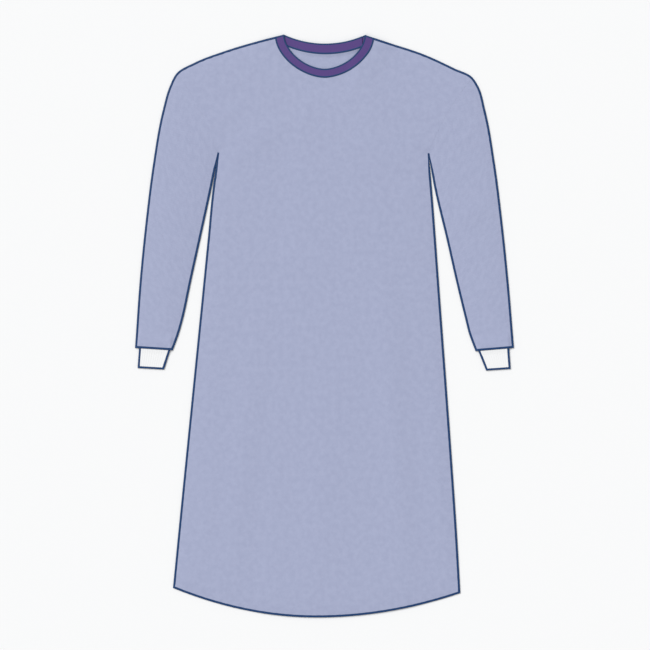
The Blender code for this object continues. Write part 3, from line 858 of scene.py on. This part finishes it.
def front_neck_line(half_width, depth, starts_down, count):
    """The lower half of a superellipse, from the left end to the right one, at even turns.

    Its right end is a little lower, and slopes down further beyond the neck point.
    """
    turn = np.linspace(math.pi, 0, count)
    power = 2 / NECK_ROUNDNESS
    across = half_width * np.sign(np.cos(turn)) * np.abs(np.cos(turn)) ** power
    lower = right_neck_drop(across) + RIGHT_END_SLOPE * np.maximum(across - NECK_HALF_WIDTH, 0)
    return np.column_stack([across, starts_down + lower + depth * np.abs(np.sin(turn)) ** power])


def gown_outline():
    """The closed outline of body and sleeves, without the cuffs and the neck."""
    sides = {}
    for side in (-1, 1):
        upper, under, seam = (edge_line(table, side) for table in (UPPER_EDGE, UNDERARM_EDGE, SIDE_SEAM))
        sides[side] = np.vstack([spaced(edge, OUTLINE_PITCH) for edge in (upper, under[::-1], seam[1:])])
    hem = hem_line(HEM_RIGHT, HEM_LEFT, OUTLINE_HEM_POINTS)
    return np.vstack([sides[1], hem[1:-1], sides[-1][::-1], sides[1][:1]])


OUTLINE = gown_outline()


def ridges(points, table):
    """A bell across each crease of a table, times the root of a sine along it, 0 at its ends."""
    height = np.zeros(len(points))
    for _, start_across, start_down, end_across, end_down, half_width, tall in table:
        start = np.array([start_across, start_down])
        span = np.array([end_across, end_down]) - start
        share = np.clip((points - start) @ span / (span @ span), 0, 1)
        away = np.linalg.norm(points - start - share[:, None] * span, axis=1)
        height += tall * np.exp(-((away / half_width) ** 2)) * np.sin(math.pi * share) ** 0.5
    return height


def beyond_inner_panel(points):
    """0 over the inner back panel, and 1 where the outer one lies bare under the front."""
    beyond = points[:, 0] - lap_edge(points, INNER_EDGE_AT_NECK, INNER_EDGE_AT_HEM)
    return smoothstep((beyond - STEP_CLEAR) / STEP_OVER_EDGE)


def pucker(away, run):
    """Small waves along a sewn edge: a sine swayed by a slower one, and a lower, quicker sine over it.

    They start a little way in from the edge, and die away inwards.
    """
    wave = np.sin(run * PUCKER_WAVE + SWAY_STRENGTH * np.sin(run * PUCKER_SWAY))
    wave += RIPPLE_STRENGTH * np.sin(run * PUCKER_RIPPLE + RIPPLE_SHIFT)
    return PUCKER_HEIGHT * wave * np.exp(-away / PUCKER_REACH) * smoothstep(away / PUCKER_START)


def front_band_base(points):
    """The underside of the front neck tape: over one back tape, and on the right over both."""
    return WRAP + BAND_STEP * (1 + smoothstep((points[:, 0] - BOTH_TAPES_FROM) / BOTH_TAPES_RISE))


def front_height(points):
    """The underside of the upper cloth of body and sleeves.

    It lies on one layer or two at its edges, rises from them over the air and the creases, and near the
    neck it blends into the height at which the tape holds it.
    """
    inside, run = nearest_on(OUTLINE, points)
    rise = 1 - np.exp(-inside / LOFT_RUN)
    layers = 1 + over_outer_panel(points) * (1 - beyond_inner_panel(points))
    creases = ridges(points, CREASES) + ridges(points, FINE_CREASES)
    lying = WRAP + LAYER * layers + rise * (LOFT + creases) + pucker(inside, run)
    neck = front_neck_line(NECK_HALF_WIDTH, FRONT_NECK_DEPTH, 0, NECK_POINTS)
    held = 1 - smoothstep((nearest_on(neck, points)[0] - FRONT_HOLD) / FRONT_FALL)
    return lying + held * (front_band_base(points) + BAND_INSIDE - lying)


def body_top(points):
    """The upper face of the front: its underside and its wall."""
    return front_height(points) + WALL


def under_front(points):
    """Just under the front's cloth."""
    return front_height(points) - CLEARANCE


def on_table(points):
    """The table's height, down to which the thread over the joined edges reaches."""
    return np.zeros(len(points))


def front_plan():
    """The plan of the front panel. Its upper edge is a shoulder, the neck and the other shoulder."""
    shares, sides = body_rows(FRONT_PITCHES)
    neck = front_neck_line(NECK_HALF_WIDTH + TAPE, FRONT_NECK_DEPTH, TAPE, FRONT_NECK_POINTS)
    left, right = (spaced(shoulder_line(side), FRONT_PITCHES["shoulder"]) for side in (-1, 1))
    top = np.vstack([left[::-1][:-1], neck, right[1:]])
    bottom = hem_line(sides[-1][0, 0], sides[1][0, 0], len(top))
    return patch(bottom, top, sides[-1], sides[1], shares)


def narrow_start(path):
    """The width along an edge that starts in the notch under the arm: a smoothstep to the full one."""
    return NOTCH_WIDTH + (EDGE_WIDTH - NOTCH_WIDTH) * smoothstep(run_of(path) / NOTCH_RUN)


def front_threads():
    """The wound edges of the front panel: its hem, and each side seam and shoulder."""
    tubes = [hem_thread(HEM_LEFT, HEM_RIGHT, EDGE_WIDTH, EDGE_LIFT, body_top, under_front)]
    for side in (-1, 1):
        seam = spaced(edge_line(SIDE_SEAM, side), THREAD_STEP)
        shoulder = spaced(shoulder_line(side), THREAD_STEP)
        shoulder = shoulder[np.abs(shoulder[:, 0]) > FRONT_TAPE_HALF_WIDTH - THREAD_UNDER_TAPE]
        for path, width in ((seam, narrow_start(seam)), (shoulder, EDGE_WIDTH)):
            towards = inward_of(path, BODY_MIDDLE)
            tubes.append(wound_edge(path, towards, width, EDGE_LIFT, body_top, on_table))
    return tubes


front = panel_piece("front_cloth", front_plan(), front_height, gown_cloth)
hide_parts("front_panel")
front_edging = thread_piece("overlock_front", front_threads(), navy_thread)


# The neck tapes: dark ribbed tape folded in half over each neck edge, and sewn on with navy thread. The
# back has one on each half, and the inner one lies on the outer one. The front's tape lies on them where
# they meet at the shoulders.
FRONT_TAPE_DEPTH = 0.0925
FRONT_TAPE_SHOULDER = 0.0045
BACK_TAPE_WIDTH = 0.0225
TAPE_PITCH = 0.002
FRONT_TAPE_POINTS = 161
TAPE_ROW_WIDTH = 0.0036
TAPE_ROW_LIFT = 0.00022
# The tape's colours: painted shade and highlight on its ribs, mixed with the uneven yarn's own tone
TAPE_DARK_YARN_AND_SHADE = (0.060, 0.030, 0.165)
TAPE_PALE_YARN_AND_HIGHLIGHT = (0.105, 0.055, 0.245)
TAPE_ROUGHNESS = 0.6
TAPE_SHEEN = 0.25
TAPE_RIB = 0.0011
TAPE_RELIEF = {"depth": 0.00018, "strength": 0.5}
YARNS_PER_METRE = 420.0
RIB_HIGHLIGHT_SHARE = 0.5
YARN_SHADE = 0.5

# How far the free end of each back tape leans over, like the free edge of its panel
OUTER_TAPE_LEAN = -0.0018
INNER_TAPE_LEAN = 0.0020

# The tape's section: shares of its width below the cloth, turns round the fold, and shares above
SHARES_BELOW = (1.0, 0.6, 0.25)
FOLD_TURNS = np.radians([-90, -125, -155, 180, 155, 125, 90])
SHARES_ABOVE = (0.15, 0.3, 0.45, 0.6, 0.75, 0.9, 1.0)

# Places far beyond either side of the neck
FAR_DOWN = (0.0, 9.0)
FAR_UP = (0.0, -9.0)


def ribbed_tape():
    """Woven tape with fine ribs across it, a sine along the cut's first number, and uneven yarn."""
    made, tree, shader, cut = shaded_material("purple ribbed tape", TAPE_ROUGHNESS, TAPE_SHEEN)
    parts = add_node(tree, "ShaderNodeSeparateXYZ", [("Vector", cut)])
    turns = maths(tree, "MULTIPLY", parts.outputs["X"], 2 * math.pi / TAPE_RIB)
    rib = fitted(tree, maths(tree, "SINE", turns), -1.0, 1.0)
    yarn = noise(tree, cut, YARNS_PER_METRE, detail=2.0)
    # Painted highlight on the ribs' crests and painted shade in their troughs, with the yarn's uneven tone
    painted_rib_highlight = maths(tree, "MULTIPLY", rib, RIB_HIGHLIGHT_SHARE)
    light_yarn = maths(tree, "MULTIPLY", yarn, YARN_SHADE)
    coloured(tree, shader, maths(tree, "ADD", painted_rib_highlight, light_yarn), TAPE_DARK_YARN_AND_SHADE, TAPE_PALE_YARN_AND_HIGHLIGHT)
    raised(tree, shader, rib, **TAPE_RELIEF)
    return made


def tape_piece(name, fold, free, base_of, material):
    """Tape folded over an edge, from free edge to free edge: flat, half round at the fold, and flat."""
    inward = (free - fold) / np.linalg.norm(free - fold, axis=1)[:, None]
    radius = BAND_HEIGHT / 2
    rows = []
    for share in SHARES_BELOW:
        points = fold + share * (free - fold)
        rows.append(in_space(points, base_of(points)))
    for turn in FOLD_TURNS:
        points = fold + radius * (1 + math.cos(turn)) * inward
        rows.append(in_space(points, base_of(points) + radius * (1 + math.sin(turn))))
    for share in SHARES_ABOVE:
        points = fold + share * (free - fold)
        rows.append(in_space(points, base_of(points) + BAND_HEIGHT - CLEARANCE * share))
    grid = np.array(rows)
    run = np.broadcast_to(run_of(fold), grid.shape[:2])
    across = np.zeros(grid.shape[:2])
    across[1:] = np.cumsum(np.linalg.norm(np.diff(grid, axis=0), axis=2), axis=0)
    cut = np.stack([run, across], axis=2)
    return cloth_piece(name, grid, cut, material, thickness=TAPE, offset=-1, flip=True)


def back_band(start, end, start_lean, end_lean):
    """The fold line and the free line of a back neck tape: the neck edge, and the same line lower down."""
    across = np.linspace(start, end, round(abs(end - start) / TAPE_PITCH) + 1)
    fold = np.column_stack([across, back_neck_down(across)])
    lean = np.linspace(start_lean, end_lean, len(across))
    return fold, fold + np.column_stack([lean, np.full(len(across), BACK_TAPE_WIDTH)])


def outer_band_base(points):
    """The underside of the outer back tape, which lies on the thread under it."""
    return np.full(len(points), WRAP)


def inner_band_base(points):
    """The underside of the inner back tape: up on the outer tape where there is one."""
    return WRAP + BAND_STEP * over_outer_panel(points)


def tape_threads(fold, free, base_of, ends=()):
    """The thread on a neck tape: wound over its fold, along its free edge, and over the ends that show."""

    def top_of(points):
        """The tape's upper face."""
        return base_of(points) + BAND_HEIGHT - CLEARANCE

    def low_of(points):
        """Half a thread under the tape."""
        return base_of(points) - WRAP / 2

    def on_cloth(points):
        """Just over the cloth inside the tape."""
        return base_of(points) + TAPE + WALL + CLEARANCE

    paths = [(fold, FAR_DOWN, low_of), (free, FAR_UP, on_cloth)]
    paths += [(np.array([fold[end], free[end]]), FAR_DOWN, near_table) for end in ends]
    tubes = []
    for path, inside, low in paths:
        path = spaced(path, THREAD_STEP)
        towards = inward_of(path, inside)
        tubes.append(wound_edge(path, towards, TAPE_ROW_WIDTH, TAPE_ROW_LIFT, top_of, low))
    return tubes


purple_tape = ribbed_tape()
outer_fold, outer_free = back_band(OUTER_EDGE_AT_NECK, NECK_HALF_WIDTH, OUTER_TAPE_LEAN, 0)
outer_tape = tape_piece("neck_tape_back_outer", outer_fold, outer_free, outer_band_base, purple_tape)
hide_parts("neck_binding_back_outer")
outer_rows = thread_piece(
    "overlock_tape_back_outer", tape_threads(outer_fold, outer_free, outer_band_base), navy_thread
)

inner_fold, inner_free = back_band(-NECK_HALF_WIDTH, INNER_EDGE_AT_NECK, 0, INNER_TAPE_LEAN)
inner_tape = tape_piece("neck_tape_back_inner", inner_fold, inner_free, inner_band_base, purple_tape)
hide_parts("neck_binding_back_inner")
inner_rows = thread_piece(
    "overlock_tape_back_inner", tape_threads(inner_fold, inner_free, inner_band_base), navy_thread
)

front_fold = front_neck_line(NECK_HALF_WIDTH, FRONT_NECK_DEPTH, 0, FRONT_TAPE_POINTS)
front_free = front_neck_line(
    FRONT_TAPE_HALF_WIDTH, FRONT_TAPE_DEPTH - FRONT_TAPE_SHOULDER, FRONT_TAPE_SHOULDER, FRONT_TAPE_POINTS
)
front_tape = tape_piece("neck_tape_front", front_fold, front_free, front_band_base, purple_tape)
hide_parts("neck_binding_front")
front_rows = thread_piece(
    "overlock_tape_front", tape_threads(front_fold, front_free, front_band_base, ends=(0, -1)), navy_thread
)


# The sleeves: each a tube of the same cloth, narrower towards the wrist, laid flat beside the body. Its end
# opens a little over the cuff that is sewn inside it, and thread is wound over its folds and round its end.
SLEEVE_ROWS = 128
SLEEVE_COLUMNS = 46

# The share of the sleeve over which the seam's bow fades, and the turns round each of its folds
ARMHOLE_BOW_SHARE = 0.25
CAP_TURNS = np.radians([65, 35, 0, -35, -65])

# A place inside the left sleeve, by which each of its edges is told from its inside
ARM_MIDDLE = (0.33, 0.45)

# The wearer's right is on the left of the picture
SIDES = ((-1, "right"), (1, "left"))

# Each row is a place on the edge, then across and down on the left of the picture, then on the right
CUFF_OUTER_EDGE = (
    ("at the sleeve end", 0.3983, 0.6734, 0.3966, 0.6734),
    ("free end", 0.4014, 0.7157, 0.4000, 0.7177),
)
CUFF_INNER_EDGE = (
    ("at the sleeve end", 0.3322, 0.6790, 0.3308, 0.6796),
    ("free end", 0.3450, 0.7190, 0.3475, 0.7212),
)

# How far the cuff goes into the sleeve, how high its two layers are without ribs, and how high its ribs are
CUFF_TUCK = 0.012
CUFF_LAYERS = 0.0017
RIB_HEIGHT = 0.00035

# How far above the cuff, and in from its folds, the sleeve is fully open, and over what it then closes
ROOM_ABOVE = 0.003
ROOM_IN = 0.001
ROOM_CLOSES_UP = 0.045
ROOM_CLOSES_ASIDE = 0.008


def cuff_edge(side, share):
    """The two ends of the cuff's line at a share of its length beyond the sleeve.

    Below 0 the line is inside the sleeve, straight up from the cuff's places at the sleeve end.
    """
    ends = []
    for top_row, free_row in (CUFF_OUTER_EDGE, CUFF_INNER_EDGE):
        top, free = np.array(place_on(side, top_row)), np.array(place_on(side, free_row))
        ends.append(top + np.array([max(share, 0.0), share]) * (free - top))
    return ends


def cuff_room(side, points):
    """1 where the end of the sleeve opens round the cuff, and 0 where it lies flat.

    It is a smoothstep down the arm times a smoothstep in from beside the cuff.
    """
    outer, inner = cuff_edge(side, 0)
    width = np.linalg.norm(inner - outer)
    direction = (inner - outer) / width
    down_arm = np.array([-direction[1], direction[0]])
    down_arm *= np.sign(down_arm[1])
    along_arm = (points - outer) @ down_arm
    beside = np.abs((points - (outer + inner) / 2) @ direction) - width / 2
    lengthwise = smoothstep(1 + (along_arm + CUFF_TUCK + ROOM_ABOVE) / ROOM_CLOSES_UP)
    return lengthwise * (1 - smoothstep((beside + ROOM_IN) / ROOM_CLOSES_ASIDE))


def sleeve_top(side, points):
    """The upper face of a sleeve: the body's height, lifted over the cuff, and the cloth's own wall."""
    over_cuff = WRAP + LAYER + (CUFF_LAYERS + RIB_HEIGHT + 2 * CLEARANCE) * cuff_room(side, points)
    return np.maximum(front_height(points), over_cuff) + WALL


def ring_grid(first, last, plan, top, low, radius):
    """Flattened rings, one a row, each between a first end and a last one.

    Each goes over the top from the first end, half round the last, back below, and half round the first.
    """
    direction = (last - first) / np.linalg.norm(last - first, axis=1)[:, None]
    flat_low = np.repeat(low[:, None], plan.shape[1], axis=1)
    over, under = (np.dstack([plan[..., 0], NECK_Y - plan[..., 1], height]) for height in (top, flat_low))
    caps = []
    for end, sign in ((last, 1), (first, -1)):
        centre = end - sign * radius * direction
        reach = sign * radius * np.cos(CAP_TURNS)
        cap = centre[:, None] + reach[None, :, None] * direction[:, None]
        rise = low[:, None] + radius + radius * np.sin(CAP_TURNS)[None]
        caps.append(np.dstack([cap[..., 0], NECK_Y - cap[..., 1], rise]))
    return np.concatenate([over, caps[0], under[:, ::-1], caps[1][:, ::-1]], axis=1)


def ring_cut(grid, run):
    """The place on the flat cut of each point of a tube: round the ring, and along the tube."""
    closed = np.concatenate([grid, grid[:, :1]], axis=1)
    around = np.zeros(closed.shape[:2])
    around[:, 1:] = np.cumsum(np.linalg.norm(np.diff(closed, axis=1), axis=2), axis=1)
    return np.dstack([around, np.broadcast_to(run[:, None], around.shape)])


def sleeve_fold(side):
    """The upper edge from the shoulder tip to the sleeve's end."""
    return edge_line(UPPER_EDGE, side)[TIP_ROW * POINTS_PER_SPAN :]


def sleeve_piece(name, side, material):
    """A sleeve: rings from the armhole seam to the sleeve's end, at first bowed like the seam."""
    shares = np.linspace(0, 1, SLEEVE_ROWS)
    first = along(sleeve_fold(side), shares)
    last = along(edge_line(UNDERARM_EDGE, side), shares)
    across = np.linspace(0, 1, SLEEVE_COLUMNS)
    hole = armhole_line(side, across)
    bow = hole - (hole[0] + across[:, None] * (hole[-1] - hole[0]))
    fade = np.clip(1 - shares / ARMHOLE_BOW_SHARE, 0, 1)[:, None, None]
    plan = first[:, None] + across[None, :, None] * (last - first)[:, None] + fade * bow[None]
    plan = plan[:, 1:-1]
    top = sleeve_top(side, plan.reshape(-1, 2)).reshape(plan.shape[:2])
    grid = ring_grid(first, last, plan, top, np.full(SLEEVE_ROWS, WRAP), (LAYER + WALL) / 2)
    cut = ring_cut(grid, run_of((first + last) / 2))
    return cloth_piece(name, grid, cut, material, offset=-1, around=True, flip=side < 0)


def sleeve_threads(side):
    """The wound edges of a sleeve: along its upper fold, under it, and round its end, above and below."""
    outer = spaced(sleeve_fold(side), THREAD_STEP)
    under = spaced(edge_line(UNDERARM_EDGE, side), THREAD_STEP)
    wrist = spaced(np.array([outer[-1], under[-1]]), THREAD_STEP)
    in_arm = (side * ARM_MIDDLE[0], ARM_MIDDLE[1])

    def lid(points):
        """The sleeve's upper face."""
        return sleeve_top(side, points)

    def under_lid(points):
        """Just under the sleeve's upper wall."""
        return sleeve_top(side, points) - WALL - CLEARANCE

    def lower_wall(points):
        """The upper side of the sleeve's lower wall, less half the thread's lift."""
        return np.full(len(points), WRAP + WALL - EDGE_LIFT / 2)

    def over_crossing(points):
        """Twice as far over the table as thread that crosses others, to lie over both."""
        return 2 * near_table(points)

    runs = (
        (outer, EDGE_WIDTH, lid, on_table),
        (under, narrow_start(under), lid, over_crossing),
        (wrist, EDGE_WIDTH, lid, under_lid),
        (wrist, EDGE_WIDTH, lower_wall, near_table),
    )
    return [
        wound_edge(path, inward_of(path, in_arm), width, EDGE_LIFT, top, low)
        for path, width, top, low in runs
    ]


for side, word in SIDES:
    sleeve_piece(f"sleeve_{word}_cloth", side, gown_cloth)
    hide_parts(f"sleeve_{word}")
    edging = thread_piece(f"overlock_sleeve_{word}", sleeve_threads(side), navy_thread)


# The cuffs: short tubes of white rib knit. Each rib is a column of small looped stitches on the side that
# shows. The tube's upper end is sewn inside the sleeve, and thread is wound over its folds and free end.
CUFF_WALL = 0.0007
CUFF_RIBS = 13
POINTS_PER_RIB = 10
CUFF_ROWS = 122
STITCH_PITCH = 0.0021
# The knit's white, and the grey of painted shade in the hollows of its fuzz
CUFF_WHITE = (0.88, 0.885, 0.89)
CUFF_SHADE = (0.74, 0.755, 0.78)
CUFF_ROUGHNESS = 0.85
CUFF_SHEEN = 0.3
CUFF_RELIEF = {"depth": 0.0002, "strength": 0.4}
FUZZ_PER_METRE = 1400.0
FUZZ_BAND = (0.2, 0.55)

# A rib's top is flatter than a sine, and its stitches slant back from its middle and wave its height
RIB_POWER = 0.7
STITCH_SLANT = 1.1
STITCH_DEPTH = 0.26

# How far from the edges the ribs start, and over what they rise
RIBS_FROM = 0.0028
RIBS_RISE = 0.0020

# The share of the cuff over which it comes down on the table, the share of it inside the sleeve from which
# thread covers its folds, and how far under the upper wall the thread on the free end reaches
CUFF_DESCENT = 0.25
THREAD_INSIDE = 0.03
CUFF_END_CLEAR = 0.0003


def rib_knit():
    """White cotton knit with fuzzy yarn, and painted shade, slightly grey, in the hollows of its fuzz."""
    made, tree, shader, cut = shaded_material("white rib knit", CUFF_ROUGHNESS, CUFF_SHEEN)
    fuzz = noise(tree, cut, FUZZ_PER_METRE, detail=3.0)
    # Painted shade: grey where the fuzz's noise, which also sets the bump, is low
    coloured(tree, shader, fitted(tree, fuzz, *FUZZ_BAND), CUFF_SHADE, CUFF_WHITE)
    raised(tree, shader, fuzz, **CUFF_RELIEF)
    return made


def cuff_base(share):
    """How high the cuff's underside is: on the sleeve's lower cloth, then down on the table."""
    return WRAP + LAYER * (1 - smoothstep(share / CUFF_DESCENT))


def cuff_length(side):
    """The length of the cuff's outer fold, beyond the sleeve."""
    return np.linalg.norm(cuff_edge(side, 1)[0] - cuff_edge(side, 0)[0])


def cuff_piece(name, side, material):
    """A cuff: ribs round the top, each a power of a sine, and a sine of stitches along each.

    The stitches' phase grows with the distance from the rib's middle, which makes them V-shaped.
    """
    length = cuff_length(side)
    shares = np.linspace(-CUFF_TUCK / length, 1, CUFF_ROWS)
    ends = np.array([cuff_edge(side, share) for share in shares])
    first, last = ends[:, 0], ends[:, 1]
    across = np.linspace(0, 1, CUFF_RIBS * POINTS_PER_RIB + 1)[1:-1]
    plan = first[:, None] + across[None, :, None] * (last - first)[:, None]
    in_rib = across * CUFF_RIBS
    rib = np.abs(np.sin(math.pi * in_rib)) ** RIB_POWER
    off_middle = np.abs(in_rib % 1 - 0.5)
    phase = shares[:, None] * length / STITCH_PITCH + STITCH_SLANT * off_middle[None]
    stitch = np.sin(2 * math.pi * phase)
    base = cuff_base(shares)
    from_sides = np.minimum(across, 1 - across) * np.linalg.norm(last[-1] - first[-1])
    from_edges = np.minimum(from_sides[None], ((1 - shares) * length)[:, None])
    relief = RIB_HEIGHT * smoothstep((from_edges - RIBS_FROM) / RIBS_RISE)
    top = base[:, None] + CUFF_LAYERS + relief * rib[None] * (1 - STITCH_DEPTH + STITCH_DEPTH * stitch)
    grid = ring_grid(first, last, plan, top, base, CUFF_LAYERS / 2)
    cut = ring_cut(grid, (shares - shares[0]) * length)
    return cloth_piece(
        name, grid, cut, material, thickness=CUFF_WALL, offset=-1, around=True, flip=side < 0
    )


def cuff_threads(side):
    """The wound edges of a cuff: down both folds, and round its free end, above and below."""
    length = cuff_length(side)
    shares = np.linspace(-THREAD_INSIDE, 1, round(length / THREAD_STEP))
    ends = np.array([cuff_edge(side, share) for share in shares])
    free = spaced(ends[-1], THREAD_STEP)
    middle = ends.mean(axis=(0, 1))

    def base_of(points):
        """The cuff's underside, from each point's share of the way down the outer fold."""
        first, last = cuff_edge(side, 0)[0], cuff_edge(side, 1)[0]
        return cuff_base((points - first) @ (last - first) / length**2)

    def top_of(points):
        """The cuff's upper face, without its ribs."""
        return base_of(points) + CUFF_LAYERS

    def low_of(points):
        """Under the cuff's lower wall by the thread's thickness."""
        return base_of(points) - WRAP

    def under_top(points):
        """Under the cuff's upper wall."""
        return top_of(points) - CUFF_WALL - CUFF_END_CLEAR

    def lower_wall(points):
        """The upper side of the cuff's lower wall, less half the thread's lift."""
        return base_of(points) + CUFF_WALL - EDGE_LIFT / 2

    def end_low(points):
        """Just over the folds' thread, which this crosses."""
        return low_of(points) + CROSSING

    runs = (
        (ends[:, 0], top_of, low_of),
        (ends[:, 1], top_of, low_of),
        (free, top_of, under_top),
        (free, lower_wall, end_low),
    )
    return [
        wound_edge(path, inward_of(path, middle), EDGE_WIDTH, EDGE_LIFT, top, low)
        for path, top, low in runs
    ]


white_knit = rib_knit()
for side, word in SIDES:
    cuff = cuff_piece(f"cuff_{word}_knit", side, white_knit)
    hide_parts(f"cuff_{word}")
    edging = thread_piece(f"overlock_cuff_{word}", cuff_threads(side), navy_thread)
